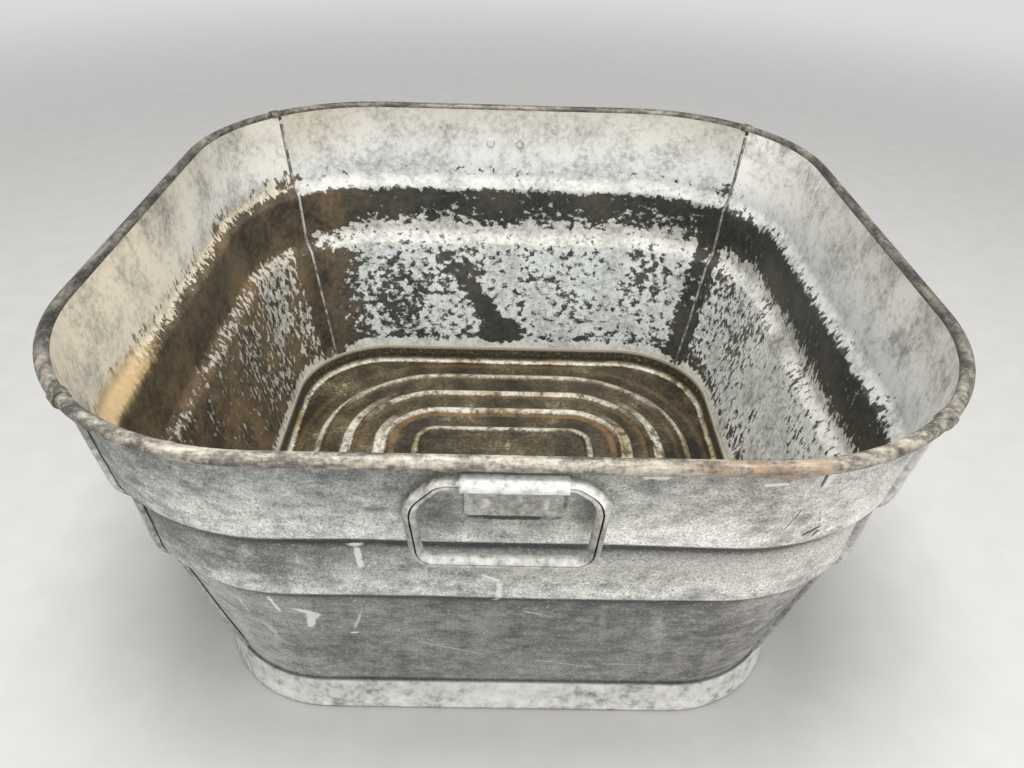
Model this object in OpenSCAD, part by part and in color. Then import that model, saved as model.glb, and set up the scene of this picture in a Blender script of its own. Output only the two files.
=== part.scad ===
// Square washing tub in galvanised sheet: four stepped walls hooked together at the corners,
// a wired rim, a ribbed bottom pan, a foot band and two drop handles in riveted ears.
// Millimetres, +Z up, origin at the middle of the foot. The front handle is on the -Y side.

/* [Body] */
// Width over the rolled rim, the same both ways
rim_w = 533.4; // [500:0.2:570]
// Height from the foot to the top of the rim
tub_h = 282; // [272:1:310]
// Distance of each corner's centre from the tub's two middle planes
corner_at = 119; // [105:1:130]
// Thickness of the body sheet
sheet = 0.8; // [0.6:0.05:1.1]
// Narrowing of the top band, from the rim down to the upper ridge
top_draw = 9; // [5:0.5:14]
// Narrowing of the middle band, between the two pressed steps
middle_draw = 4; // [2:0.5:8]
// Narrowing of the lower wall, from the lower step down to the waist above the foot
lower_draw = 29; // [20:0.5:36]
// Outward lean of the skirt below the waist
skirt_flare = 2.2; // [1:0.1:4]

/* [Pressed steps] */
// How far each pressed step goes in
step_in = 7.5; // [5:0.5:9]
// Height over which each pressed step goes in
step_drop = 10; // [8:0.5:14]
// Height of the crease under the upper ridge
upper_crease_z = 204; // [190:1:212]
// Height of the crease under the lower ridge
lower_crease_z = 148.5; // [130:0.5:165]
// Radius of the rounded ridges
ridge_r = 11; // [4:0.5:14]
// Radius of the creases and of the waist
crease_r = 5; // [2:0.5:7]

/* [Rim] */
// Diameter of the wire inside the rim
wire_d = 6; // [4:0.1:8]
// Gap between the wire and the sheet rolled round it
roll_fit = 0.2; // [0.1:0.05:0.5]
// Angle that the sheet turns round the wire
roll_turn = 305; // [260:5:310]

/* [Corner seams] */
// Width of the folded lock that joins two walls
seam_w = 6.5; // [5:0.25:10]
// Gap between the folded layers of a seam
seam_fit = 0.15; // [0.1:0.05:0.4]
// Distance of a seam's ends from the rim roll above and the foot band below
seam_end = 2.5; // [2:0.5:8]

/* [Bottom pan] */
// Drop from the waist of the walls to the floor
floor_drop = 8.4; // [7:0.1:12]
// Height of the pan's flange above the waist
flange_rise = 8.6; // [4:0.2:20]
// Inner radius of the bend between floor and flange
pan_bend_r = 4; // [2:0.5:5]
// Gap between sheets that lap each other
lap_fit = 0.15; // [0.1:0.05:0.4]
// Distance from the flange to the middle of the outermost rib
rib_inset = 29.5; // [24:0.5:40]
// Distance from one rib to the next
rib_pitch = 30; // [20:0.5:36]
// Number of ribs
rib_count = 4; // [1:1:5]
// Width of a rib
rib_w = 9; // [6:0.5:14]
// Height of a rib above the floor
rib_h = 2.6; // [1:0.1:3]
// Corner radius of the innermost rib
rib_corner_r = 20; // [16:0.5:40]

/* [Foot band] */
// Height of the band outside
band_h = 29.4; // [24:0.2:34]
// Height of the band's lip inside
band_lip_h = 10; // [6:0.5:14]
// Thickness of the band
band_t = 1; // [0.8:0.05:1.4]
// Height of the waist of the walls above the band
waist_gap = 2; // [1.5:0.1:5]

/* [Handles] */
// Drop from the hinge bar to the grip, between centres
handle_drop = 52; // [44:0.5:60]
// Diameter of the rolled tube
tube_d = 7; // [5:0.1:8]
// Thickness of the tube's sheet
tube_t = 0.9; // [0.7:0.05:1.2]
// Width of the open seam along the tube
tube_slit = 0.8; // [0.4:0.1:1]
// Bend radius of the shoulders, between the hinge bar and the legs
shoulder_bend_r = 17; // [8:0.5:22]
// Bend radius of the grip's corners
grip_bend_r = 9; // [6:0.5:14]
// How far a handle can slide along its ear, to each side of the middle
handle_slide = 3.5; // [0:0.25:8]
// Gap that is left between a handle's bend and its ear when it has slid
slide_gap = 0.4; // [0.3:0.05:1]

/* [Ears] */
// Width of an ear
ear_w = 51; // [44:0.5:60]
// Distance that the front ear sits to the right of the wall's middle, as the back one does seen from behind
ear_shift = 3.5; // [0:0.5:8]
// Thickness of an ear
ear_t = 1; // [0.8:0.05:1.4]
// Length of an ear's leaf below the rivets
ear_margin = 8; // [6:0.25:12]
// Radius of the leaf's lower corners
ear_corner_r = 4; // [1:0.5:6]
// Gap between the hinge bar and the ear rolled round it
bar_fit = 0.3; // [0.2:0.05:0.6]
// Angle that the ear turns round the bar
ear_turn = 275; // [240:5:285]
// Distance from the rim roll down to the ear
ear_below_rim = 3.2; // [2:0.1:8]
// Distance from an ear's side edges to its rivets
rivet_inset = 11; // [8:0.25:15]
// Distance from the ear's roll down to the rivets
rivet_drop = 15; // [8:0.2:18]
// Diameter of a rivet's shank
rivet_d = 4.4; // [3:0.1:5]
// Diameter of a rivet's heads
rivet_head_d = 8.4; // [7:0.1:10]
// Height of a rivet's round head
rivet_head_h = 1.9; // [1.2:0.1:2.6]
// Height of a rivet's upset end
rivet_upset_h = 1.2; // [0.8:0.1:2]
// Gap between a rivet and its hole, and under its heads
rivet_fit = 0.1; // [0.05:0.05:0.3]

/* [Hidden] */
$fn = 64;

// Straight pieces in each arc of a pressed outline, and in the rim roll
arc_steps = 4;
roll_steps = 20;
// Larger than anything that it cuts
reach = 2 * rim_w;

// Rim roll: outer radius, centre, and the face of the wall that runs into it
roll_r = wire_d / 2 + roll_fit + sheet;
roll_s = rim_w / 2 - roll_r;
roll_z = tub_h - roll_r;
wall_top_s = roll_s - roll_r + sheet;

// Outside of the wall, level by level, as a distance from the middle
upper_ridge_s = wall_top_s - top_draw;
upper_ridge_z = upper_crease_z + step_drop;
upper_crease_s = upper_ridge_s - step_in;
lower_ridge_s = upper_crease_s - middle_draw;
lower_ridge_z = lower_crease_z + step_drop;
lower_crease_s = lower_ridge_s - step_in;
waist_s = lower_crease_s - lower_draw;
waist_z = band_h + waist_gap;
skirt_s = waist_s + skirt_flare;
skirt_z = band_t + lap_fit;

// Lean of the top band, and the outside of the wall at a height in each band
lean = atan(top_draw / (roll_z - upper_ridge_z));
function top_band_s(z) = wall_top_s - (roll_z - z) * tan(lean);
function lower_wall_s(z) = waist_s + (z - waist_z) * lower_draw / (lower_crease_z - waist_z);
function skirt_out_s(z) = skirt_s - (z - skirt_z) * skirt_flare / (waist_z - skirt_z);

// Corner seams: from layer to layer, and from end to end
layer = sheet + seam_fit;
seam_z0 = waist_z + seam_end;
seam_z1 = roll_z - roll_r - seam_end;

// Ears and hinge bars
tube_r = tube_d / 2;
ear_r = tube_r + bar_fit + ear_t;
bar_z = roll_z - roll_r - ear_below_rim - ear_r;
bar_s = top_band_s(bar_z) + (ear_r + lap_fit) / cos(lean);
rivet_z = ear_r + rivet_drop;
ear_leaf = rivet_z + ear_margin;

// Bottom pan: floor, flange, and the ribs' places
floor_z = waist_z - floor_drop;
flange_z = waist_z + flange_rise;
flange_s = waist_s - sheet - lap_fit;
rib_at = flange_s - rib_inset;
rib_last = rib_at - (rib_count - 1) * rib_pitch;
rib_corner_at = rib_last - rib_corner_r;

galvanised = [0.56, 0.57, 0.56];
galvanised_light = [0.68, 0.69, 0.67];
stained_floor = [0.33, 0.29, 0.21];
bright_wire = [0.62, 0.63, 0.64];

// Points of an arc
function arc(c, r, from, to, steps) =
    [for (i = [0 : steps]) let (a = from + (to - from) * i / steps) c + r * [cos(a), sin(a)]];

// Points that round the corner at q, between p and w, to radius r
function corner(p, q, w, r) =
    let (
        u = (p - q) / norm(p - q),
        v = (w - q) / norm(w - q),
        half = acos(u * v) / 2,
        c = q + (u + v) / norm(u + v) * r / sin(half),
        from = atan2((q + u * r / tan(half) - c)[1], (q + u * r / tan(half) - c)[0]),
        to = atan2((q + v * r / tan(half) - c)[1], (q + v * r / tan(half) - c)[0]),
        sweep = to - from > 180 ? to - from - 360 : to - from < -180 ? to - from + 360 : to - from
    )
    arc(c, r, from, from + sweep, arc_steps);

// Points of an open outline of [s, z, radius] knots, with each knot rounded to its radius
function flat(k) = [k[0], k[1]];
function outline(knots) = [
    for (i = [0 : len(knots) - 1])
        each knots[i][2] == 0
            ? [flat(knots[i])]
            : corner(flat(knots[i - 1]), flat(knots[i]), flat(knots[i + 1]), knots[i][2])
];
function reversed(list) = [for (i = [len(list) - 1 : -1 : 0]) list[i]];
function shifted(list, ds, dz) = [for (p = list) p + [ds, dz]];

// Outside of the pressed wall between two end knots
function wall_outline(low, high) = outline(concat(
    low,
    [
        [lower_crease_s, lower_crease_z, crease_r],
        [lower_ridge_s, lower_ridge_z, ridge_r],
        [upper_crease_s, upper_crease_z, crease_r],
        [upper_ridge_s, upper_ridge_z, ridge_r]
    ],
    high
));

// Section through a wall: the pressed sheet and its curl round the rim wire
function wall_section() =
    let (
        outside = wall_outline(
            [[skirt_s, skirt_z, 0], [waist_s, waist_z, crease_r]],
            [[wall_top_s, roll_z, 0]]
        ),
        middle = [roll_s, roll_z],
        from = 180 - roll_turn / roll_steps,
        to = 180 - roll_turn
    )
    concat(
        shifted(outside, -sheet, 0),
        arc(middle, roll_r, from, to, roll_steps - 1),
        arc(middle, roll_r - sheet, to, from, roll_steps - 1),
        reversed(outside)
    );

// Section through a part of a corner seam, between two distances from the wall's outside
function seam_section(inner, outer) =
    let (
        outside = wall_outline(
            [[lower_wall_s(seam_z0), seam_z0, 0]],
            [[top_band_s(seam_z1), seam_z1, 0]]
        )
    )
    concat(shifted(outside, inner, 0), reversed(shifted(outside, outer, 0)));

// Section of [s, z] points drawn out along the front
module along_front(points, half) {
    rotate([90, 0, -90])
        linear_extrude(2 * half, center = true)
            polygon(points);
}

// Section turned round the front right corner, whose centre is at the given distance
module round_corner(points, centre) {
    translate([centre, -centre, 0])
        rotate([0, 0, -90])
            rotate_extrude(angle = 90)
                polygon(shifted(points, -centre, 0));
}

// Section carried all the way round a square with rounded corners
module round_square(points, centre) {
    for (side = [0 : 3])
        rotate([0, 0, 90 * side]) {
            along_front(points, centre);
            round_corner(points, centre);
        }
}

// Flat plate, square with rounded corners
module square_plate(half, centre, z, thickness) {
    translate([0, 0, z]) {
        translate([-half, -centre, 0])
            cube([2 * half, 2 * centre, thickness]);
        translate([-centre, -half, 0])
            cube([2 * centre, 2 * half, thickness]);
        for (x = [-centre, centre], y = [-centre, centre])
            translate([x, y, 0])
                cylinder(r = half - centre, h = thickness);
    }
}

// What lies between two distances beside the diagonal of the front right corner, towards the front
module beside_diagonal(from, to) {
    intersection() {
        children();
        translate([corner_at, -corner_at, -1])
            rotate([0, 0, -45])
                translate([0, -to, 0])
                    cube([reach, to - from, reach]);
    }
}

// Part of a seam: distances from the wall's outside, then distances beside the diagonal
module seam_part(inner, outer, from, to) {
    beside_diagonal(from, to)
        round_corner(seam_section(inner, outer), corner_at);
}

// Edge of the right wall, which passes under the seam and hooks back over it
module under_edge() {
    half = seam_w / 2;
    hook_out = 2 * layer;
    beside_diagonal(-reach, half)
        round_corner(wall_section(), corner_at);
    seam_part(-sheet / 2, hook_out, half - sheet, half);
    seam_part(hook_out - sheet, hook_out, -half, half);
}

// Edge of the front wall, which jogs out over the seam and hooks back inside it
module over_edge() {
    half = seam_w / 2;
    near = half + seam_fit;
    far = near + sheet;
    cover_out = 3 * layer;
    hook_in = layer - sheet;
    beside_diagonal(near, reach)
        round_corner(wall_section(), corner_at);
    seam_part(-sheet / 2, cover_out, near, far);
    seam_part(cover_out - sheet, cover_out, -far, far);
    seam_part(hook_in, cover_out, -far, -near);
    seam_part(hook_in, layer, -far, half - sheet - seam_fit);
}

// One wall: a flat side with half of each neighbouring corner, seen here at the front
module wall_panel() {
    color(galvanised) {
        along_front(wall_section(), corner_at);
        over_edge();
        rotate([0, 0, -90])
            under_edge();
    }
}

// Frame of the front ear: the hinge bar along X through the origin, +Y into the wall, +Z up the wall
module at_front_ear() {
    translate([ear_shift, -bar_s, bar_z])
        rotate([lean, 0, 0])
            children();
}

// Rivet positions, with the rivet's axis along +Z into the wall and its origin on the wall's outside
module at_rivets() {
    at_front_ear()
        for (side = [-1, 1])
            translate([side * (ear_w / 2 - rivet_inset), ear_r + lap_fit, -rivet_z])
                rotate([-90, 0, 0])
                    children();
}

// Holes for the rivets of the front ear, through ear and wall
module rivet_holes() {
    length = 2 * (ear_t + lap_fit + sheet);
    at_rivets()
        translate([0, 0, -length / 2])
            cylinder(d = rivet_d + 2 * rivet_fit, h = length);
}

// Wall that carries an ear, seen here at the front
module drilled_wall() {
    difference() {
        wall_panel();
        color(galvanised)
            rivet_holes();
    }
}

module front_wall() {
    drilled_wall();
}

module right_wall() {
    rotate([0, 0, 90])
        wall_panel();
}

module back_wall() {
    rotate([0, 0, 180])
        drilled_wall();
}

module left_wall() {
    rotate([0, 0, 270])
        wall_panel();
}

// Closed ring of wire inside the rim
module rim_wire() {
    bend_r = roll_s - corner_at;
    color(bright_wire)
        for (side = [0 : 3])
            rotate([0, 0, 90 * side]) {
                translate([-corner_at, -roll_s, roll_z])
                    rotate([0, 90, 0])
                        cylinder(d = wire_d, h = 2 * corner_at);
                translate([corner_at, -corner_at, roll_z])
                    rotate([0, 0, -90])
                        rotate_extrude(angle = 90)
                            translate([bend_r, 0])
                                circle(d = wire_d);
            }
}

// Upper face of one rib, across its width
function rib_outline(at) =
    let (
        r = (rib_w * rib_w / 4 + rib_h * rib_h) / (2 * rib_h),
        half = asin(rib_w / 2 / r)
    )
    arc([at, floor_z + rib_h - r], r, 90 + half, 90 - half, arc_steps);

// Floor and flange: flat plates run a little way into the ribbed ring and into the bend's ring
module bottom_pan() {
    run_in = pan_bend_r / 2;
    rib_in = rib_last - rib_w;
    rib_out = rib_at + rib_w;
    ribbed = concat(
        [[rib_in, floor_z]],
        [for (i = [rib_count - 1 : -1 : 0]) each rib_outline(rib_at - i * rib_pitch)],
        [[rib_out, floor_z]]
    );
    flange_top_s = lower_wall_s(flange_z) - sheet - lap_fit;
    flat_s = flange_s - sheet - 2 * pan_bend_r;
    under = outline([
        [flange_top_s, flange_z, 0],
        [flange_s, waist_z, crease_r],
        [flange_s, floor_z - sheet, pan_bend_r + sheet],
        [flat_s, floor_z - sheet, 0]
    ]);
    over = outline([
        [flange_top_s - sheet, flange_z, 0],
        [flange_s - sheet, waist_z, crease_r],
        [flange_s - sheet, floor_z, pan_bend_r],
        [flat_s, floor_z, 0]
    ]);
    color(stained_floor) {
        round_square(concat(under, reversed(over)), corner_at);
        difference() {
            square_plate(flat_s + run_in, corner_at, floor_z - sheet, sheet);
            square_plate(rib_out - run_in, rib_corner_at, floor_z - 2 * sheet, 3 * sheet);
        }
        round_square(concat(ribbed, reversed(shifted(ribbed, 0, -sheet))), rib_corner_at);
        square_plate(rib_in + run_in, rib_corner_at, floor_z - sheet, sheet);
    }
}

// Folded band that clasps the lower edge of the walls
module foot_band() {
    fold_r = sheet / 4;
    wall_out = lap_fit;
    wall_in = -sheet - lap_fit;
    inside = outline([
        [skirt_out_s(band_h) + wall_out, band_h, 0],
        [skirt_s + wall_out, band_t, fold_r],
        [skirt_s + wall_in, band_t, fold_r],
        [skirt_out_s(band_lip_h) + wall_in, band_lip_h, 0]
    ]);
    outside = outline([
        [skirt_out_s(band_h) + wall_out + band_t, band_h, 0],
        [skirt_s + wall_out + band_t, 0, band_t],
        [skirt_s + wall_in - band_t, 0, band_t],
        [skirt_out_s(band_lip_h) + wall_in - band_t, band_lip_h, 0]
    ]);
    color(galvanised_light)
        round_square(concat(inside, reversed(outside)), corner_at);
}

// Leaf with round lower corners and its top rolled round the hinge bar
module ear() {
    gap = 360 - ear_turn;
    color(galvanised_light)
        difference() {
            at_front_ear() {
                translate([0, ear_r, 0])
                    rotate([90, 0, 0])
                        linear_extrude(ear_t)
                            polygon(concat(
                                [[ear_w / 2, 0], [-ear_w / 2, 0]],
                                arc(
                                    [ear_corner_r - ear_w / 2, ear_corner_r - ear_leaf],
                                    ear_corner_r, 180, 270, arc_steps
                                ),
                                arc(
                                    [ear_w / 2 - ear_corner_r, ear_corner_r - ear_leaf],
                                    ear_corner_r, 270, 360, arc_steps
                                )
                            ));
                translate([-ear_w / 2, 0, 0])
                    rotate([90, 0, 90])
                        difference() {
                            cylinder(r = ear_r, h = ear_w);
                            translate([0, 0, -1])
                                cylinder(r = tube_r + bar_fit, h = ear_w + 2);
                            rotate([0, 0, -gap])
                                rotate_extrude(angle = gap)
                                    translate([0, -1])
                                        square([2 * ear_r, ear_w + 2]);
                        }
            }
            rivet_holes();
        }
}

module front_ear() {
    ear();
}

module back_ear() {
    rotate([0, 0, 180])
        ear();
}

// Two rivets with round heads outside and flat upset heads inside
module ear_rivets() {
    head_z = -lap_fit - ear_t - rivet_fit;
    upset_z = sheet * cos(lean) + rivet_fit;
    head_r = rivet_head_d / 2;
    dome_r = (head_r * head_r + rivet_head_h * rivet_head_h) / (2 * rivet_head_h);
    color(galvanised_light)
        at_rivets() {
            intersection() {
                translate([0, 0, head_z - rivet_head_h + dome_r])
                    sphere(r = dome_r);
                translate([0, 0, head_z - rivet_head_h])
                    cylinder(r = head_r, h = rivet_head_h);
            }
            translate([0, 0, head_z])
                cylinder(d = rivet_d, h = upset_z - head_z);
            translate([0, 0, upset_z])
                cylinder(r1 = head_r, r2 = head_r - rivet_upset_h / 2, h = rivet_upset_h);
        }
}

module front_ear_rivets() {
    ear_rivets();
}

module back_ear_rivets() {
    rotate([0, 0, 180])
        ear_rivets();
}

// Section across the rolled tube, with its open seam on the loop's outside, in front of the middle
module tube_section() {
    difference() {
        circle(r = tube_r);
        circle(r = tube_r - tube_t);
        translate([0, tube_slit])
            square([tube_d, tube_slit]);
    }
}

// Loop of rolled sheet tube, hanging from its bar: each pass adds a corner and the straight after it
module handle() {
    leg_x = ear_w / 2 + handle_slide + slide_gap + shoulder_bend_r;
    corners = [
        [leg_x, 0, shoulder_bend_r],
        [-leg_x, 0, shoulder_bend_r],
        [-leg_x, -handle_drop, grip_bend_r],
        [leg_x, -handle_drop, grip_bend_r]
    ];
    color(galvanised_light)
        translate([ear_shift - handle_slide, -bar_s, bar_z])
            rotate([90, 0, 0])
                for (i = [0 : 3]) {
                    here = corners[i];
                    next = corners[(i + 1) % 4];
                    bend_r = here[2];
                    length = norm(flat(next) - flat(here)) - bend_r - next[2];
                    translate([here[0], here[1], 0])
                        rotate([0, 0, 180 + 90 * i]) {
                            translate([bend_r, bend_r, 0])
                                rotate([0, 0, 180])
                                    rotate_extrude(angle = 90)
                                        translate([bend_r, 0])
                                            tube_section();
                            translate([bend_r, 0, 0])
                                rotate([90, 0, 90])
                                    linear_extrude(length)
                                        mirror([1, 0])
                                            tube_section();
                        }
                }
}

module front_handle() {
    handle();
}

module back_handle() {
    rotate([0, 0, 180])
        handle();
}

front_wall();
right_wall();
back_wall();
left_wall();
rim_wire();
bottom_pan();
foot_band();
front_ear();
back_ear();
front_ear_rivets();
back_ear_rivets();
front_handle();
back_handle();
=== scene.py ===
"""Looks of a square galvanised washing tub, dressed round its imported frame.

Lengths are in millimetres, and times MM in metres, which Blender takes.
"""

import logging
import math
from collections.abc import Callable, Iterable
from dataclasses import dataclass
from enum import Enum
from functools import partial

import bmesh
import bpy
from mathutils import Matrix, Vector


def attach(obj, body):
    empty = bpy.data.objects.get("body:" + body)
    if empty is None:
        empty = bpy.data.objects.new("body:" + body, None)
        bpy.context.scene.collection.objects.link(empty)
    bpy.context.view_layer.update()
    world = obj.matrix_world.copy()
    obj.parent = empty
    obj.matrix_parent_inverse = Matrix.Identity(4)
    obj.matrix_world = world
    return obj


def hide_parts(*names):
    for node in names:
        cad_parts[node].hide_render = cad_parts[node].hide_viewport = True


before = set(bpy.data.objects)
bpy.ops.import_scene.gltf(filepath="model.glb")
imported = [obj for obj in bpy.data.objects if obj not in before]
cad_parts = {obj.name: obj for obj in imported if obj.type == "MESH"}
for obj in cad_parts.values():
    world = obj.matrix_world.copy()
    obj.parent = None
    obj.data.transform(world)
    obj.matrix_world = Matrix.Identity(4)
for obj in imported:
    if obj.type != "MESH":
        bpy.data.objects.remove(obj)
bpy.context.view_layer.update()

log = logging.getLogger("washing_tub")

MM = 0.001
TUB_H = 282.0
PHOTO_W = 1024
SENSOR_W = 36.0
TOUCH = 1e-6  # metres, between points that are one
SLACK = 0.1  # millimetres, for what lies on an edge or a surface
DIGITS = 6  # of a place in metres, to know a point again
BAR_AT = (3.5, -262.811, 266.0)  # middle of the front hinge bar
SMOOTH_UNDER = math.radians(40)
BACKDROP = "#F2F2F1"
BACKDROP_STRENGTH = 0.8
BLEND = {"data_type": "RGBA"}
TINT = {"data_type": "RGBA", "blend_type": "MULTIPLY"}

Colour = tuple[float, float, float, float]
Point = tuple[float, float, float]
Span = tuple[float, float]
Stops = tuple[tuple[float, str | float], ...]
Source = bpy.types.Node | bpy.types.NodeSocket | float | Colour | Point | Vector | None
Adder = Callable[..., bpy.types.Node]


class Side(Enum):
    """The tub's sides, as quarter turns from the front."""

    FRONT = 0
    RIGHT = 1
    BACK = 2
    LEFT = 3

    @property
    def turn(self) -> float:
        """Angle about the upright axis that takes the front to this side."""
        return self.value * math.pi / 2

    @property
    def node(self) -> str:
        """Name of this side's wall in the frame."""
        return f"{self.name.lower()}_wall"


class Coat(Enum):
    """A wall's finishes, as places in its list of them."""

    INSIDE = 0
    OUTSIDE = 1
    RIM = 2
    SEAM = 3
    BEAD = 4


def linear(code: str) -> Colour:
    """Turn an sRGB hex colour into linear light.

    Args:
        code: Six hex digits after a number sign.

    Returns:
        Linear red, green and blue, and an alpha of one.
    """
    parts = [int(code[i : i + 2], 16) / 255 for i in (1, 3, 5)]
    red, green, blue = (c / 12.92 if c <= 0.04045 else ((c + 0.055) / 1.055) ** 2.4 for c in parts)
    return (red, green, blue, 1.0)


def per_mm(size: float) -> float:
    """Texture scale at which one feature of a pattern measures this many millimetres."""
    return 1 / (size * MM)


def scales(sizes: Point) -> Vector:
    """Texture scales at which the features of a pattern have these sizes in millimetres."""
    return Vector([per_mm(size) for size in sizes])


def metres(*point: float) -> Vector:
    """Vector in metres of a place given in millimetres."""
    return Vector(point) * MM


def clamp(share: float) -> float:
    """Keep a share between none and one."""
    return min(1.0, max(0.0, share))


def by_height(stops: Stops) -> Stops:
    """Stops of a ramp over the tub's height, from stops in millimetres above the ground."""
    return tuple((z / TUB_H, shade) for z, shade in stops)


def feed(tree: bpy.types.NodeTree, socket: bpy.types.NodeSocket, source: Source) -> None:
    """Let an input take a node's first output, a given output or a value; None leaves it as it is.

    Args:
        tree: Node tree of a material or of the world.
        socket: The input.
        source: What it takes.
    """
    if isinstance(source, bpy.types.Node):
        source = next(output for output in source.outputs if output.enabled)
    if isinstance(source, bpy.types.NodeSocket):
        tree.links.new(source, socket)
    elif source is not None:
        socket.default_value = source


def add_node(tree: bpy.types.NodeTree, kind: str, *inputs: Source, **settings: object) -> bpy.types.Node:
    """Add a shader node with its settings and links.

    Args:
        tree: Node tree of a material or of the world.
        kind: Blender's name for the node, after the part that all shader nodes share.
        inputs: What the inputs that are in use take, in order.
        settings: Properties of the node; the stops of a ramp are pairs of place and colour or grey.

    Returns:
        The new node.
    """
    node = tree.nodes.new(f"ShaderNode{kind}")
    stops = settings.pop("stops", ())
    for key, value in settings.items():
        setattr(node, key, value)
    while stops and len(node.color_ramp.elements) < len(stops):
        node.color_ramp.elements.new(1.0)
    for place, (position, shade) in enumerate(stops):
        element = node.color_ramp.elements[place]
        element.position = position
        element.color = linear(shade) if isinstance(shade, str) else (shade, shade, shade, 1.0)
    for socket, source in zip([socket for socket in node.inputs if socket.enabled], inputs):
        feed(tree, socket, source)
    return node


def seen_strength(add: Adder, unseen: float) -> bpy.types.Node:
    """Add the nodes that show the backdrop to the eye without lighting the tub with it.

    Args:
        add: Adds a node to the floor or the world.
        unseen: Strength of the light that falls on the tub.

    Returns:
        Strength, which is that of the backdrop where it is looked at, mirrored or seen through something.
    """
    path = add("LightPath")
    seen: Source = path.outputs["Is Camera Ray"]
    for kind in ("Is Glossy Ray", "Is Transmission Ray"):
        seen = add("Math", seen, path.outputs[kind], operation="MAXIMUM")
    return add("Math", seen, BACKDROP_STRENGTH - unseen, unseen, operation="MULTIPLY_ADD")


@dataclass(frozen=True)
class Finish:
    """A surface finish that can be painted into a material."""

    name: str

    def material(self) -> bpy.types.Material:
        """Make the material of this finish.

        Returns:
            A new material with its nodes painted.
        """
        made = bpy.data.materials.new(self.name)
        made.use_nodes = True
        tree = made.node_tree
        surface = tree.nodes["Principled BSDF"]
        for name, source in self.paint(partial(add_node, tree)).items():
            feed(tree, surface.inputs[name], source)
        return made

    def paint(self, add: Adder) -> dict[str, Source]:
        """Add the nodes of this finish.

        Args:
            add: Adds a node to the material.

        Returns:
            What each input of the surface takes.
        """
        raise NotImplementedError


@dataclass(frozen=True)
class Mark:
    """A mark on the outside of the front wall: its middle, half sizes, tilt, strength and softness."""

    x: float
    z: float
    half_length: float
    half_width: float
    tilt: float = 0.0
    strength: float = 0.85
    soft: float = 0.3


PALE_RUBS = (
    Mark(-79.5, 202.6, 6.4, 1.7, 4, 0.8, 0.5),
    Mark(-78.0, 191.0, 10.0, 2.1, 95, 0.85, 0.5),
    Mark(-8.0, 177.0, 5.0, 1.3, -28, 0.8, 0.5),
    Mark(-2.4, 166.0, 9.5, 2.2, 88, 0.85, 0.5),
    Mark(-4.0, 153.0, 5.0, 1.6, 70, 0.8, 0.5),
    Mark(-117.0, 128.9, 9.0, 2.0, -28, 0.85, 0.5),
    Mark(-113.5, 124.0, 6.0, 4.5, 60, 0.8, 0.6),
    Mark(-115.6, 116.0, 9.0, 2.8, 84, 0.85, 0.5),
    Mark(-134.0, 135.0, 11.0, 1.1, -78),
    Mark(-156.0, 124.0, 10.0, 0.8, -80, 0.6),
    Mark(-87.3, 117.0, 16.0, 1.0, 74, 0.5, 0.6),
    Mark(-91.5, 100.0, 2.6, 1.2, 10),
    Mark(-144.0, 96.0, 14.0, 3.0, -75, 0.4, 0.8),
    Mark(82.0, 58.0, 15.0, 0.4, 1, 0.6),
    Mark(18.0, 131.5, 6.5, 0.5, -24, 0.7),
    Mark(-30.0, 78.0, 26.0, 0.35, -22, 0.6),
    Mark(44.0, 57.0, 24.0, 0.35, -14, 0.5),
    Mark(95.0, 116.0, 30.0, 5.0, 101, 0.26, 1.2),
    Mark(62.0, 113.0, 30.0, 3.0, 96, 0.14, 1.2),
    Mark(128.0, 263.6, 6.5, 1.0, 3, 0.8),
    Mark(70.0, 267.0, 8.0, 1.2, 0, 0.7),
    Mark(154.5, 263.5, 6.0, 1.6, 80, 0.7),
)

# Dark marks on the front wall: rust, crud and stain, and painted shadow and shade where noted below.
DIRT_AND_SHADOWS = (
    # Painted shadow of the handle and the ear, with some stain, on the wall inside the handle's loop.
    Mark(-34.0, 240.0, 14.0, 20.0, 0, 0.78, 0.9),
    Mark(38.0, 243.0, 10.0, 18.0, 0, 0.74, 0.9),
    Mark(2.0, 243.0, 46.0, 20.0, 0, 0.56, 0.9),
    # Painted shadow under the ear leaf's foot and beside its two sides.
    Mark(3.5, 235.6, 25.0, 2.6, 0, 0.95, 0.5),
    Mark(28.6, 248.0, 1.8, 13.0, 0, 0.9, 1.0),
    Mark(-21.6, 248.0, 1.4, 12.0, 0, 0.75, 1.1),
    Mark(-1.0, 225.0, 9.0, 2.6, 88, 0.4, 0.9),
    Mark(151.7, 264.5, 6.5, 0.9, 84, 0.9),
    # Painted shade along a fold in the sheet near the front-right corner.
    Mark(143.5, 236.0, 9.6, 0.5, 70, 0.6),
    Mark(157.0, 223.5, 5.5, 1.2, 31, 0.85),
    Mark(160.0, 220.5, 3.0, 1.0, 60, 0.8),
    Mark(100.4, 243.2, 1.5, 0.5, 0, 0.8),
    Mark(-96.0, 246.0, 26.0, 9.0, 12, 0.16, 1.2),
    Mark(-62.0, 262.0, 40.0, 6.0, 0, 0.25, 1.2),
    Mark(60.0, 86.0, 42.0, 26.0, 0, 0.18, 1.2),
)


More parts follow.
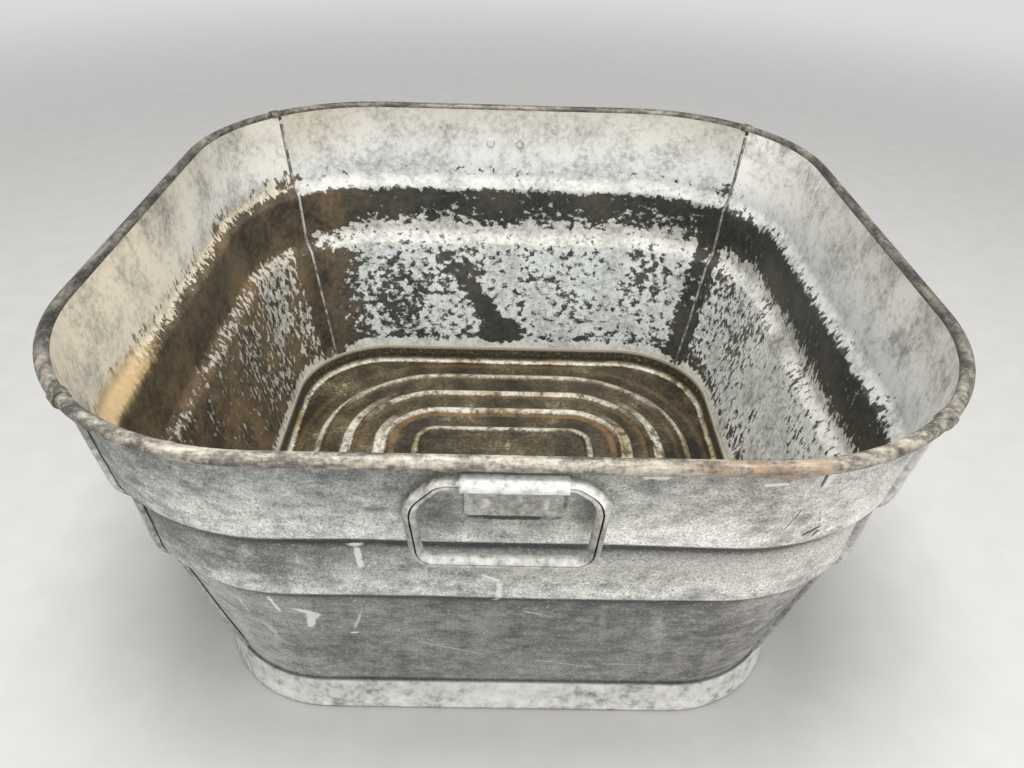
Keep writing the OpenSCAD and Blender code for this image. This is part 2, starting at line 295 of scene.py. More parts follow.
@dataclass(frozen=True)
class WeatheredZinc(Finish):
    """Hot-dip galvanised sheet after years outdoors.

    The spangle has gone to a dull grey bloom: fine pale and dark specks over soft clouds. Painted highlight
    makes each pressed ridge pale, and painted shade makes the crease under it near-black and darkens the
    lower wall and the band under the rim; the pressed zones also carry painted light from +X. The corners
    are paler where hands and weather wore them. Dark marks on the front are rust, crud and stain, with
    painted shadow round the ear and inside the handle's loop. The specks are drawn coarser than they are.
    """

    cloud: float = 55.0
    mottle: float = 9.0
    smear: Point = (15.0, 15.0, 7.0)
    speck: float = 1.3
    salt: float = 2.6
    cloud_mottle_smear: Point = (0.8, 1.0, 0.75)
    tone_shift: float = -0.79
    # Where the painted light from +X runs from dark to pale, in millimetres across.
    pale_across: Span = (-130.0, 130.0)
    low_ridge: Span = (147.0, 185.0)
    high_ridge: Span = (195.0, 214.0)
    corner_wear: Span = (108.0, 165.0)
    mark_y: float = -230.0
    mark_depth: float = 60.0
    fray: float = 3.0
    mark_edge: float = -0.5
    mark_soft: float = 1.2
    relief: float = 0.5
    tones: Stops = ((0.22, "#939593"), (0.40, "#C0C2BF"), (0.54, "#DFE0DC"), (0.72, "#FBFBF7"))
    patina: Stops = ((0.0, "#F6F8F5"), (0.5, "#FAF9F5"), (1.0, "#FCF7F4"))
    # Painted highlight and shade by height: pale just above each pressed ridge, near-black in the crease
    # under it, darker on the lower wall, at the foot and under the rim.
    painted_light_bands: Stops = (
        (30, 0.20), (32, 0.46), (40, 0.42), (100, 0.37), (136, 0.38), (144, 0.31), (147.5, 0.18),
        (149, 0.06), (157.2, 0.10), (159, 1.0), (166, 0.95), (179, 0.66), (193, 0.55), (200, 0.33),
        (203, 0.08), (205, 0.03), (213, 0.05), (214.8, 1.0), (226, 0.95), (240, 0.77), (258, 0.66),
        (270, 0.49), (275, 0.12), (278, 0.06),
    )

    def paint(self, add: Adder) -> dict[str, Source]:
        """Add the nodes of this finish.

        Args:
            add: Adds a node to the material.

        Returns:
            What each input of the surface takes.
        """
        place = add("TexCoord").outputs["Object"]
        split = add("SeparateXYZ", place)
        clouds = add("TexNoise", place, per_mm(self.cloud), 3.0, 0.55)
        mottle = add("TexNoise", place, per_mm(self.mottle), 6.0, 0.75)
        sideways = add("Mapping", place, None, None, scales(self.smear))
        smears = add("TexNoise", sideways, 1.0, 4.0, 0.6)
        tone: Source = self.tone_shift
        for pattern, share in zip((clouds, mottle, smears), self.cloud_mottle_smear):
            tone = add("Math", pattern, share, tone, operation="MULTIPLY_ADD")
        # Painted light from +X: above the lower ridge the wall is painted lighter towards +X, most of all
        # between the ridges, and below it slightly darker.
        across = add("MapRange", split.outputs["X"], *metres(*self.pale_across), -0.6, 1.0)
        eased = add("MapRange", split.outputs["Z"], *metres(*self.high_ridge), 0.24, 0.08)
        raised = add("MapRange", split.outputs["Z"], *metres(*self.low_ridge), -0.08, eased)
        tone_with_painted_light = add("Math", across, raised, tone, operation="MULTIPLY_ADD")
        colour = add("ValToRGB", tone_with_painted_light, stops=self.tones)
        height = add("Math", split.outputs["Z"], TUB_H * MM, operation="DIVIDE")
        # Painted highlight and shade by height.
        band = add("ValToRGB", height, stops=by_height(self.painted_light_bands))
        mirrored = add("VectorMath", place, operation="ABSOLUTE")
        parts = add("SeparateXYZ", mirrored)
        inward = add("Math", parts.outputs["X"], parts.outputs["Y"], operation="MINIMUM")
        corner = add("MapRange", inward, *metres(*self.corner_wear), 1.0, 0.55)
        # The painted highlight and shade, made paler near the corners where the zinc is worn.
        worn = add("Math", band, corner, operation="POWER")
        grains = add("TexNoise", place, per_mm(self.speck), 3.0, 0.65)
        specks = add("MapRange", grains, 0.34, 0.66, 0.62, 1.32)
        salts = add("TexNoise", place, per_mm(self.salt), 4.0, 0.75)
        crystals = add("MapRange", salts, 0.58, 0.70, 0.0, 0.5)
        pits = add("MapRange", salts, 0.42, 0.30, 0.0, 0.55)
        patina = add("ValToRGB", across, stops=self.patina)
        rubs = self.marks(add, place, mottle, PALE_RUBS)
        # Dark marks: rust, crud and stain, with painted shadow round the ear and inside the loop.
        dirt_and_shadow = self.marks(add, place, mottle, DIRT_AND_SHADOWS)
        for share, shade, way in (
            (1.0, worn, TINT), (1.0, specks, TINT), (crystals, linear("#DCDCD7"), BLEND),
            (pits, linear("#4B4A46"), BLEND), (1.0, patina, TINT), (rubs, linear("#E9E7E2"), BLEND),
            (dirt_and_shadow, linear("#35322D"), BLEND),
        ):
            colour = add("Mix", share, colour, shade, **way)
        rough = add("MapRange", mottle, 0.3, 0.7, 0.52, 0.72)
        bump = add("Bump", 0.4, self.relief * MM, None, mottle)
        return {"Base Color": colour, "Roughness": rough, "Normal": bump, "Metallic": 0.3}

    def marks(
        self, add: Adder, place: Source, ragged: Source, marks: tuple[Mark, ...]
    ) -> Source:
        """Add marks of the front wall.

        Args:
            add: Adds a node to the material.
            place: Object coordinates.
            ragged: A fine pattern that frays the marks' edges.
            marks: The marks.

        Returns:
            How strong a mark is, from none to one.
        """
        share: Source = None
        for mark in marks:
            local = add(
                "Mapping", place, metres(mark.x, self.mark_y, mark.z), (0, math.radians(-mark.tilt), 0),
                metres(mark.half_length, self.mark_depth, mark.half_width), vector_type="TEXTURE",
            )
            squared = add("VectorMath", local, local, operation="MULTIPLY")
            away = add("VectorMath", squared, operation="LENGTH")
            frayed = add("Math", ragged, -self.fray, away, operation="MULTIPLY_ADD")
            full_at = self.mark_edge - self.mark_soft * mark.soft
            inside = add("MapRange", frayed, self.mark_edge, full_at, 0.0, mark.strength)
            share = add("Math", share, inside, operation="MAXIMUM") if share is not None else inside
        return share


@dataclass(frozen=True)
class Smear:
    """A patch of stain on the inside: its middle, half sizes, tilt from level and strength."""

    middle: Point
    half_sizes: Point
    tilt: float
    strength: float


BACK_SMEARS = (
    Smear((-48, 222, 122), (16, 60, 30), 65, 0.13),
    Smear((-26, 214, 90), (12, 60, 42), 38, 0.24),
    Smear((-4, 208, 56), (24, 60, 16), 0, 0.34),
    Smear((-110, 214, 90), (34, 60, 50), 10, 0.10),
    Smear((-10, 236, 172), (24, 60, 10), 0, 0.10),
)

LEFT_OCHRE = (Smear((-246, -128, 211), (30, 66, 12), 0, 0.9),)


@dataclass(frozen=True)
class StainedZinc(Finish):
    """Inside of the galvanised wall, marked by standing water.

    Dry white zinc bloom on the ledges and the upper band, a near-black tide band under the upper ledge, and a
    lower wall where dark deposit is left as flecks that lie along the wall or run down it.
    """

    fleck: Point = (7.0, 7.0, 5.6)
    clump: float = 42.0
    streak: Point = (4.0, 4.0, 45.0)
    grit: float = 5.0
    feather: float = 2.5
    clumping: float = 0.5
    stain_edge: Span = (-0.035, 0.045)
    low_cover: float = 0.445
    shelf_cover: float = 0.41
    shelf_shade: str = "#E2E1DA"
    shelf_top: float = 163.0
    band_cover: float = 0.66
    band_top: float = 202.0
    ledge_cover: float = 0.31
    ledge_shade: str = "#D2D2CD"
    speck_cover: float = 0.42
    upper_cover: float = 0.24
    lean_axis: str = "X"
    lean: Span = (-138.0, -176.0)
    lean_cover: float = 0.28
    lean_shelf: float = 0.25
    lean_brown: float = 0.65
    seam_wet: Span = (24.0, 10.0)
    seam_cover: float = 0.22
    waterline: Span = (212.0, 198.0)
    brown: float = -0.04
    tan: Span = (215.0, 265.0)
    upper_tan: float = 0.9
    upper_shade: str = "#BFB196"
    low_shade: str = "#DDE1DF"
    mottling: float = 0.9
    blotching: float = 1.0
    shades: Stops = ((0.14, "#7C7B78"), (0.44, "#E3E3E1"), (0.60, "#FFFFFF"))
    patch_uneven: float = 1.6
    patch_edge: Span = (2.0, 1.2)
    smears: tuple[Smear, ...] = ()
    ochre: tuple[Smear, ...] = ()
    relief: float = 0.5

    @property
    def covers(self) -> Stops:
        """Share of the wall that the deposit covers, by height in millimetres."""
        return (
            (40, self.low_cover - 0.22), (45, self.low_cover - 0.16), (50, self.low_cover + 0.08),
            (64, self.low_cover), (143, self.low_cover), (150, self.shelf_cover),
            (self.shelf_top, self.shelf_cover), (self.shelf_top + 7, self.band_cover - 0.14),
            (180, self.band_cover - 0.02), (self.band_top - 3, self.band_cover),
            (self.band_top + 4.5, self.ledge_cover), (214, self.ledge_cover), (218, self.speck_cover),
            (223, self.speck_cover - 0.06), (232, self.upper_cover), (278, self.upper_cover - 0.06),
        )

    @property
    def leans(self) -> Stops:
        """How much more the deposit covers towards one end of the wall, by height in millimetres."""
        full, shelf = self.lean_cover, self.lean_cover * self.lean_shelf
        return ((40, full), (141, full), (149, shelf), (163, shelf), (171, full), (200, full), (206, 0.0))

    @property
    def blooms(self) -> Stops:
        """Colour of the bare wall, by height in millimetres."""
        return (
            (40, "#DAD6C8"), (48, self.low_shade), (140, self.low_shade), (150, self.shelf_shade),
            (166, self.shelf_shade), (200, "#C6C9C6"), (206, self.ledge_shade), (214, self.ledge_shade),
            (224, "#DCE0E0"), (236, "#E6E7E5"), (256, "#DCDBD5"), (276, "#D0CDC4"),
        )

    def paint(self, add: Adder) -> dict[str, Source]:
        """Add the nodes of this finish.

        Args:
            add: Adds a node to the material.

        Returns:
            What each input of the surface takes.
        """
        place = add("TexCoord").outputs["Object"]
        split = add("SeparateXYZ", place)
        stretched = add("Mapping", place, None, None, scales(self.fleck))
        flecks = add("TexNoise", stretched, 1.0, 5.0, 0.62)
        clumps = add("TexNoise", place, per_mm(self.clump), 4.0, 0.62)
        upright = add("Mapping", place, None, None, scales(self.streak))
        streaks = add("TexNoise", upright, 1.0, 4.0)
        fine = add("TexNoise", place, per_mm(self.grit), 5.0, 0.72)
        frayed = add("MapRange", streaks, 0.25, 0.75, -self.feather * MM, self.feather * MM)
        feathered = add("Math", frayed, split.outputs["Z"], operation="ADD")
        height = add("Math", feathered, TUB_H * MM, operation="DIVIDE")
        cover = add("ValToRGB", height, stops=by_height(self.covers))
        lean = add("MapRange", split.outputs[self.lean_axis], *metres(*self.lean))
        below = add("ValToRGB", height, stops=by_height(self.leans))
        leaning = add("Math", lean, below, cover, operation="MULTIPLY_ADD")
        mirrored = add("VectorMath", place, operation="ABSOLUTE")
        parts = add("SeparateXYZ", mirrored)
        aside = add("Math", parts.outputs["X"], parts.outputs["Y"], operation="SUBTRACT")
        from_seam = add("Math", aside, operation="ABSOLUTE")
        at_seam = add("MapRange", from_seam, *metres(*self.seam_wet), 0.0, self.seam_cover)
        wet = add("MapRange", split.outputs["Z"], *metres(*self.waterline), 0.35, 1.0)
        seamed = add("Math", at_seam, wet, leaning, operation="MULTIPLY_ADD")
        smeared = self.patches(add, place, clumps, self.smears, seamed)
        clumped = add("Math", clumps, self.clumping, smeared, operation="MULTIPLY_ADD")
        excess = add("Math", clumped, flecks, operation="SUBTRACT")
        edge = [self.clumping / 2 + past for past in self.stain_edge]
        stain = add("MapRange", excess, *edge, 0.0, 0.97)
        bloom = add("ValToRGB", height, stops=by_height(self.blooms))
        upper = add("MapRange", split.outputs["Z"], *metres(*self.tan), 0.0, self.upper_tan)
        leaned = add("Math", lean, 0.75, 0.25, operation="MULTIPLY_ADD")
        clouded = add("Math", leaned, clumps, operation="MULTIPLY")
        tanned = add("Math", upper, clouded, operation="MULTIPLY")
        warm = add("Mix", tanned, bloom, linear(self.upper_shade), **BLEND)
        blotch = add("Math", clumps, self.blotching, -self.blotching / 2, operation="MULTIPLY_ADD")
        mottle = add("Math", fine, blotch, operation="ADD")
        shade = add("ValToRGB", mottle, stops=self.shades)
        mottled = add("Mix", self.mottling, warm, shade, **TINT)
        rusty = add("MapRange", clumps, 0.3, 0.7, self.brown - 0.2, self.brown + 0.25)
        browner = add("Math", lean, self.lean_brown, rusty, operation="MULTIPLY_ADD", use_clamp=True)
        deposit = add("Mix", browner, linear("#36362F"), linear("#6F5B3E"), **BLEND)
        crust = add("MapRange", mottle, 0.30, 0.70, 0.22, 1.14)
        caked = add("Mix", 1.0, deposit, crust, **TINT)
        colour = add("Mix", stain, mottled, caked, **BLEND)
        if self.ochre:
            yellow = self.patches(add, place, flecks, self.ochre, 0.0)
            colour = add("Mix", yellow, colour, linear("#D8BC8C"), **BLEND)
        rough = add("MapRange", stain, None, None, 0.72, 0.5)
        relief = add("Math", stain, -0.4, fine, operation="MULTIPLY_ADD")
        bump = add("Bump", 0.4, self.relief * MM, None, relief)
        return {"Base Color": colour, "Roughness": rough, "Normal": bump, "Metallic": 0.1}

    def patches(
        self, add: Adder, place: Source, ragged: Source, patches: tuple[Smear, ...], cover: Source
    ) -> Source:
        """Thicken a stain where it has run together.

        Args:
            add: Adds a node to the material.
            place: Object coordinates.
            ragged: A pattern that makes the patches' outlines uneven.
            patches: The patches.
            cover: Share of the wall that the stain covers elsewhere.

        Returns:
            The share with the patches added.
        """
        for patch in patches:
            local = add(
                "Mapping", place, metres(*patch.middle), (0, math.radians(-patch.tilt), 0),
                metres(*patch.half_sizes), vector_type="TEXTURE",
            )
            away = add("VectorMath", local, operation="LENGTH")
            uneven = add("Math", ragged, self.patch_uneven, away, operation="MULTIPLY_ADD")
            inside = add(
                "MapRange", uneven, *self.patch_edge, 0.0, patch.strength, interpolation_type="SMOOTHSTEP"
            )
            cover = add("Math", cover, inside, operation="ADD")
        return cover


@dataclass(frozen=True)
class RolledRim(Finish):
    """Zinc on the rolled rim, handled and weathered most of all.

    Grey with a purplish cast, cream where the zinc has bloomed and rust brown where it has worn through.
    It is palest along the front.
    """

    grain: Point = (32.0, 8.0, 8.0)
    grit: float = 3.5
    blister: float = 14.0
    dim_across: Span = (-240.0, 0.0)
    pale_front: Span = (-255.0, -150.0)
    rust_at: Point = (120.0, -264.0, 280.0)
    rust_reach: Point = (70.0, 30.0, 30.0)
    relief: float = 0.4
    tones: Stops = (
        (0.30, "#45423F"), (0.42, "#706B63"), (0.50, "#959084"), (0.59, "#B4AD9D"), (0.74, "#DAD2C1"),
    )

    def paint(self, add: Adder) -> dict[str, Source]:
        """Add the nodes of this finish.

        Args:
            add: Adds a node to the material.

        Returns:
            What each input of the surface takes.
        """
        place = add("TexCoord").outputs["Object"]
        split = add("SeparateXYZ", place)
        drawn = add("Mapping", place, None, None, scales(self.grain))
        patches = add("TexNoise", drawn, 1.0, 6.0, 0.68)
        fine = add("TexNoise", place, per_mm(self.grit), 5.0, 0.7)
        mixed = add("Math", fine, 0.6, -0.3, operation="MULTIPLY_ADD")
        dimmed = add("MapRange", split.outputs["X"], *metres(*self.dim_across), -0.05, -0.02)
        mixed_in = add("Math", dimmed, mixed, operation="ADD")
        tone = add("Math", patches, mixed_in, operation="ADD")
        colour = add("ValToRGB", tone, stops=self.tones)
        handled = add("MapRange", split.outputs["Y"], *metres(*self.pale_front), 1.14, 0.5)
        dulled = add("Mix", 1.0, colour, handled, **TINT)
        far = add(
            "Mapping", place, metres(*self.rust_at), None, metres(*self.rust_reach), vector_type="TEXTURE"
        )
        away = add("VectorMath", far, operation="LENGTH")
        blisters = add("TexNoise", place, per_mm(self.blister), 4.0, 0.7)
        worn = add("Math", blisters, -5.0, away, operation="MULTIPLY_ADD")
        rust = add("MapRange", worn, -1.7, -2.6, 0.0, 0.62)
        rusted = add("Mix", rust, dulled, linear("#9B7A5E"), **BLEND)
        rough = add("MapRange", fine, 0.3, 0.7, 0.45, 0.7)
        bump = add("Bump", 0.4, self.relief * MM, None, fine)
        return {"Base Color": rusted, "Roughness": rough, "Normal": bump, "Metallic": 0.35}


@dataclass(frozen=True)
class RubbedZinc(Finish):
    """Zinc kept pale by hands and by the ground.

    Light warm grey with darker scuffs, and rust freckles on the lowest edge. A piece can give painted
    highlight and shade by height.
    """

    dull: str = "#77797A"
    middle: str = "#A3A49F"
    pale: str = "#CBCAC2"
    scuff: float = 7.0
    cloud: float = 60.0
    freckle: float = 9.0
    rust_top: float = 6.0
    relief: float = 0.4
    metal: float = 0.35
    # Painted highlight and shade by height; even unless a piece gives its own.
    painted_light_bands: Stops = ((0, 1.0), (TUB_H, 1.0))

    def paint(self, add: Adder) -> dict[str, Source]:
        """Add the nodes of this finish.

        Args:
            add: Adds a node to the material.

        Returns:
            What each input of the surface takes.
        """
        place = add("TexCoord").outputs["Object"]
        split = add("SeparateXYZ", place)
        scuffs = add("TexNoise", place, per_mm(self.scuff), 6.0, 0.68)
        clouds = add("TexNoise", place, per_mm(self.cloud), 3.0)
        tone = add("Math", clouds, 0.5, scuffs, operation="MULTIPLY_ADD")
        colour = add("ValToRGB", tone, stops=((0.54, self.dull), (0.72, self.middle), (0.90, self.pale)))
        height = add("Math", split.outputs["Z"], TUB_H * MM, operation="DIVIDE")
        # Painted highlight and shade by height, where the piece gives them.
        band = add("ValToRGB", height, stops=by_height(self.painted_light_bands))
        banded = add("Mix", 1.0, colour, band, **TINT)
        freckles = add("TexNoise", place, per_mm(self.freckle), 5.0, 0.75)
        low = add("MapRange", split.outputs["Z"], 0.0, self.rust_top * MM, 0.12, -0.1)
        rusty = add("Math", freckles, low, operation="ADD")
        rust = add("MapRange", rusty, 0.62, 0.74, 0.0, 0.8)
        rusted = add("Mix", rust, banded, linear("#5C4534"), **BLEND)
        rough = add("MapRange", scuffs, 0.3, 0.7, 0.42, 0.66)
        bump = add("Bump", 0.35, self.relief * MM, None, scuffs)
        return {"Base Color": rusted, "Roughness": rough, "Normal": bump, "Metallic": self.metal}


@dataclass(frozen=True)
class StainedPan(Finish):
    """Galvanised floor under brown water stain.

    Olive brown where water stood, with white scale and rust drawn out as rings along the pressed ribs. The
    upright flange is dark with painted shade and its top lip pale with a painted highlight. A ring is given
    by its distance from the middle, its width and its strength.
    """

    rib_corner_at: float = 62.05
    span: float = 210.0
    thin_scale: tuple[Point, ...] = ((81, 2.2, 0.8), (111, 4.2, 0.95), (140, 3.2, 0.85), (170, 1.8, 0.75))
    thick_scale: tuple[Point, ...] = ((83, 3.5, 0.85), (117, 10.0, 1.0), (148, 8.0, 0.95), (174, 4.0, 0.8))
    rust: tuple[Point, ...] = ((105, 5.0, 0.75), (135, 4.0, 0.42), (166, 3.0, 0.25), (190, 4.0, 0.3))
    edge_corner_at: float = 119.0
    edge: tuple[Point, ...] = ((198.5, 2.6, 0.9),)
    ring_fade: float = 1.2
    cloud: float = 40.0
    grit: float = 3.0
    crumb: float = 11.0
    wave: Span = (4.0, -3.5)
    ragged: float = 3.0
    thick_sides: Span = (-20.0, 50.0)
    flange_from: Span = (26.5, 28.5)
    lip_from: Span = (36.5, 38.5)
    relief: float = 0.5
    ground: Stops = (
        (0.32, "#1F1A12"), (0.46, "#3A3223"), (0.56, "#4C4330"), (0.68, "#6A5F47"), (0.78, "#A2977B"),
    )
    scale: Stops = ((0.36, "#A8966E"), (0.5, "#CFC7B2"), (0.64, "#E3DFD4"))
    # Painted shade on the upright flange: dark brown tones.
    painted_shade_flange: Stops = ((0.40, "#29251B"), (0.56, "#4A4434"), (0.68, "#7E7868"), (0.78, "#B0AC9D"))

    def ring_place(self, add: Adder, mirrored: Source, ragged: Source, corner_at: float) -> Source:
        """Add the nodes that tell which rounded square a point of the floor lies on.

        Args:
            add: Adds a node to the material.
            mirrored: Place in one quarter of the floor.
            ragged: What moves the squares' outlines in and out.
            corner_at: Where the squares' corners are centred.

        Returns:
            The square's half width as a share of the span.
        """
        past = add("VectorMath", mirrored, metres(corner_at, corner_at, 0), operation="SUBTRACT")
        beyond = add("VectorMath", past, (0, 0, 0), operation="MAXIMUM")
        reach = add("VectorMath", beyond, operation="LENGTH")
        moved = add("Math", reach, ragged, operation="ADD")
        return add("Math", moved, per_mm(self.span), corner_at / self.span, operation="MULTIPLY_ADD")

    def ring_stops(self, rings: tuple[Point, ...]) -> Stops:
        """Work out a ramp that is light on some rings.

        Args:
            rings: The rings.

        Returns:
            Stops of the ramp.
        """
        stops = []
        for s, width, strength in rings:
            edge = width / 2 + self.ring_fade
            for place, share in ((-edge, 0.0), (-width / 2, strength), (width / 2, strength), (edge, 0.0)):
                stops.append(((s + place) / self.span, share))
        return tuple(stops)

    def paint(self, add: Adder) -> dict[str, Source]:
        """Add the nodes of this finish.

        Args:
            add: Adds a node to the material.

        Returns:
            What each input of the surface takes.
        """
        place = add("TexCoord").outputs["Object"]
        split = add("SeparateXYZ", place)
        clouds = add("TexNoise", place, per_mm(self.cloud), 5.0, 0.6)
        fine = add("TexNoise", place, per_mm(self.grit), 5.0, 0.7)
        flat = add("VectorMath", place, (1, 1, 0), operation="MULTIPLY")
        mirrored = add("VectorMath", flat, operation="ABSOLUTE")
        wavy = add("Math", clouds, *metres(*self.wave), operation="MULTIPLY_ADD")
        ragged = add("Math", fine, self.ragged * MM, wavy, operation="MULTIPLY_ADD")
        along = self.ring_place(add, mirrored, ragged, self.rib_corner_at)
        round_edge = self.ring_place(add, mirrored, ragged, self.edge_corner_at)
        thin = add("ValToRGB", along, stops=self.ring_stops(self.thin_scale))
        thick = add("ValToRGB", along, stops=self.ring_stops(self.thick_scale))
        rust_ring = add("ValToRGB", along, stops=self.ring_stops(self.rust))
        edge = add("ValToRGB", round_edge, stops=self.ring_stops(self.edge))
        parts = add("SeparateXYZ", mirrored)
        sideways = add("Math", parts.outputs["X"], parts.outputs["Y"], operation="SUBTRACT")
        side = add("MapRange", sideways, *metres(*self.thick_sides))
        lines = add("Mix", side, thin, thick, **BLEND)
        all_lines = add("Math", lines, edge, operation="MAXIMUM")
        crumbs = add("TexNoise", place, per_mm(self.crumb), 5.0, 0.7)
        broken = add("MapRange", crumbs, 0.37, 0.53, 0.12, 1.0)
        scale = add("Math", all_lines, broken, operation="MULTIPLY")
        soil = add("Math", fine, 0.8, -0.4, operation="MULTIPLY_ADD")
        soiled = add("Math", soil, clouds, operation="ADD")
        ground = add("ValToRGB", soiled, stops=self.ground)
        worn_through = add("Math", rust_ring, broken, operation="MULTIPLY")
        rusted = add("Mix", worn_through, ground, linear("#84673F"), **BLEND)
        white = add("ValToRGB", soiled, stops=self.scale)
        floor = add("Mix", scale, rusted, white, **BLEND)
        # Painted shade on the upright flange, and a painted highlight on its top lip.
        upright = add("MapRange", split.outputs["Z"], *metres(*self.flange_from))
        painted_shade_flange = add("ValToRGB", fine, stops=self.painted_shade_flange)
        lip_highlight = add("MapRange", split.outputs["Z"], *metres(*self.lip_from), 0.0, 0.85)
        flange_with_painted_light = add("Mix", lip_highlight, painted_shade_flange, linear("#BDB7A4"), **BLEND)
        colour = add("Mix", upright, floor, flange_with_painted_light, **BLEND)
        rough = add("MapRange", clouds, 0.3, 0.7, 0.4, 0.65)
        bump = add("Bump", 0.4, self.relief * MM, None, fine)
        return {"Base Color": colour, "Roughness": rough, "Normal": bump, "Metallic": 0.1}


@dataclass(frozen=True)
class StudioPaper(Finish):
    """Matt pale paper under the tub, with a faint tooth, that fades into the backdrop far from it."""

    tooth: float = 30.0
    fade: Span = (900.0, 2600.0)

    def paint(self, add: Adder) -> dict[str, Source]:
        """Add the nodes of this finish.

        Args:
            add: Adds a node to the material.

        Returns:
            What each input of the surface takes.
        """
        place = add("TexCoord").outputs["Object"]
        tooth = add("TexNoise", place, per_mm(self.tooth), 3.0)
        colour = add("ValToRGB", tooth, stops=((0.3, "#CBCAC8"), (0.7, "#D0CFCD")))
        away = add("VectorMath", place, operation="LENGTH")
        far = add("MapRange", away, *metres(*self.fade), interpolation_type="SMOOTHSTEP")
        faded = add("Mix", far, colour, linear("#000000"), **BLEND)
        glow = add("Math", far, seen_strength(add, 0.0), operation="MULTIPLY")
        return {
            "Base Color": faded, "Emission Strength": glow, "Emission Color": linear(BACKDROP),
            "Roughness": 0.9, "Specular IOR Level": 0.0,
        }


class Workpiece:
    """A mesh on the bench: added as a primitive, shaped in edit mode and finished with modifiers."""

    def __init__(self, name: str) -> None:
        """Take up the primitive that was just added.

        Args:
            name: Name of the piece.
        """
        self.body: bpy.types.Object = bpy.context.object
        self.body.name = name
        bpy.ops.object.transform_apply(location=True, rotation=True, scale=True)
        bpy.ops.object.mode_set(mode="EDIT")
        bpy.ops.mesh.select_mode(type="VERT")

    @classmethod
    def from_ring(cls, name: str, steps: int, radius: float, middle: Point) -> "Workpiece":
        """Start from a circle that stands across the tub's X axis.

        Args:
            name: Name of the piece.
            steps: Corners of the circle.
            radius: Its radius in millimetres.
            middle: Its centre in millimetres.

        Returns:
            The piece, in edit mode.
        """
        bpy.ops.object.select_all(action="DESELECT")
        bpy.ops.mesh.primitive_circle_add(
            vertices=steps, radius=radius * MM, fill_type="NOTHING", location=metres(*middle),
            rotation=(math.pi / 2, 0, math.pi / 2),
        )
        return cls(name)

    def pick(self, test: Callable[[Vector], bool]) -> list[Vector]:
        """Select the points that pass a test.

        Args:
            test: Says for a place in metres whether its point is wanted.

        Returns:
            Places of the selected points.
        """
        bpy.ops.mesh.select_all(action="DESELECT")
        mesh = bmesh.from_edit_mesh(self.body.data)
        for vert in mesh.verts:
            vert.select = test(vert.co)
        mesh.select_flush(True)
        bmesh.update_edit_mesh(self.body.data)
        return [vert.co.copy() for vert in mesh.verts if vert.select]

    def pick_near(self, places: Iterable[Vector]) -> None:
        """Select the points that lie at these places."""
        known = {tuple(round(c, DIGITS) for c in place) for place in places}
        self.pick(lambda co: tuple(round(c, DIGITS) for c in co) in known)

    def drop(self) -> None:
        """Delete the selected points."""
        bpy.ops.mesh.delete(type="VERT")

    def draw_out(self, step: Vector, times: int = 1) -> None:
        """Extrude what is selected, by a step as often as is said."""
        for _ in range(times):
            bpy.ops.mesh.extrude_region_move(TRANSFORM_OT_translate={"value": step})

    def turn_round(self, degrees: float, steps: int, middle: Point, axis: Point = (0, 0, 1)) -> None:
        """Spin what is selected round an axis.

        Args:
            degrees: Angle, clockwise as seen from the axis's tip.
            steps: Faces along the turn.
            middle: A point of the axis in millimetres.
            axis: Its direction.
        """
        bpy.ops.mesh.spin(steps=steps, angle=math.radians(degrees), center=metres(*middle), axis=axis)

    def round_points(self, width: float, steps: int) -> None:
        """Round the selected corners of a line."""
        bpy.ops.mesh.bevel(offset=width * MM, segments=steps, affect="VERTICES")

    def face_count(self) -> int:
        """How many faces the piece has now."""
        return len(bmesh.from_edit_mesh(self.body.data).faces)

    def coat_since(self, count: int, coat: Coat) -> None:
        """Mark the faces that were added last with a finish.

        Args:
            count: How many faces the piece had before.
            coat: The finish.
        """
        mesh = bmesh.from_edit_mesh(self.body.data)
        mesh.faces.ensure_lookup_table()
        for face in mesh.faces[count:]:
            face.material_index = coat.value
        bmesh.update_edit_mesh(self.body.data)

    def divide(self, longest: float) -> None:
        """Divide every straight run that is too long.

        Args:
            longest: Length in millimetres that a run may have.
        """
        mesh = bmesh.from_edit_mesh(self.body.data)
        runs = [([vert.co.copy() for vert in edge.verts], edge.calc_length()) for edge in mesh.edges]
        for ends, length in runs:
            cuts = int(length / (longest * MM))
            if cuts:
                self.pick_near(ends)
                bpy.ops.mesh.subdivide(number_cuts=cuts)

    def face(self, towards: Callable[[Vector], Vector]) -> None:
        """Turn the sheet's faces the same way.

        Args:
            towards: Gives for a place in metres the direction that a face there looks in.
        """
        bpy.ops.mesh.select_all(action="SELECT")
        bpy.ops.mesh.remove_doubles(threshold=TOUCH)
        bpy.ops.mesh.normals_make_consistent(inside=False)
        mesh = bmesh.from_edit_mesh(self.body.data)
        votes = sum(f.normal.dot(towards(f.calc_center_median())) * f.calc_area() for f in mesh.faces)
        if votes < 0:
            bpy.ops.mesh.flip_normals()

    def done(self) -> bpy.types.Object:
        """Leave edit mode, and hand over the shaped object."""
        bpy.ops.object.mode_set(mode="OBJECT")
        return self.body


def only(piece: bpy.types.Object) -> None:
    """Make a piece the only selected one, and the active one.

    Args:
        piece: The piece.
    """
    bpy.ops.object.select_all(action="DESELECT")
    piece.select_set(True)
    bpy.context.view_layer.objects.active = piece


def work(piece: bpy.types.Object, kind: str, **settings: object) -> None:
    """Apply a modifier to a piece.

    Args:
        piece: The piece.
        kind: Blender's name for the modifier.
        settings: The modifier's properties.
    """
    only(piece)
    made = piece.modifiers.new(kind.lower(), kind)
    for key, value in settings.items():
        setattr(made, key, value)
    bpy.ops.object.modifier_apply(modifier=made.name)


